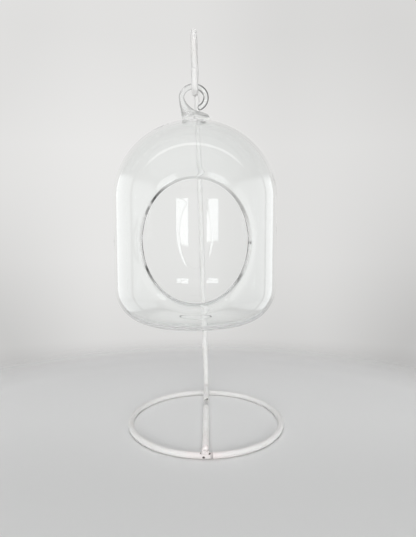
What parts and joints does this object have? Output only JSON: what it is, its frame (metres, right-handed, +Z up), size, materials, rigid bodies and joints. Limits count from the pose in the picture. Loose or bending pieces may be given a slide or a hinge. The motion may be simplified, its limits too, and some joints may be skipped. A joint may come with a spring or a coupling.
{
  "type": "hanging terrarium",
  "caption": "Clear glass dome-topped terrarium with an oval front mouth, hung by its glass loop from the hook of a white wire stand on a ring base.",
  "frame": {"origin": "middle of the whole object's footprint, on the surface that the base ring stands on", "axes": "+Z up; the vessel's oval mouth faces -Y; the stand's upright is at +Y behind the vessel; +X to the right as seen from the mouth side"},
  "size_m": [0.142, 0.1522, 0.341],
  "materials": {
    "white_paint": "satin white paint, slightly uneven, thin and chipped at the welds",
    "bare_steel": "dull bare steel",
    "clear_glass": "clear blown glass, fire-polished lip"
  },
  "bodies": {
    "stand": {"base_ring": "white_paint", "ring_seam_weld": "white_paint", "foot_bar": "white_paint", "front_weld": "white_paint", "joint_pin": "bare_steel", "upright_rod": "white_paint"},
    "hanging_glass": {"glass_vessel": "clear_glass", "hanging_loop": "clear_glass"}
  },
  "joints": [
    {"name": "vessel_swing", "type": "hinge", "parent": "stand", "child": "hanging_glass", "pos_m": [-0.00503, -0.00991, 0.2775], "axis": [0, 1, 0], "range_deg": [-45, 45]}
  ]
}
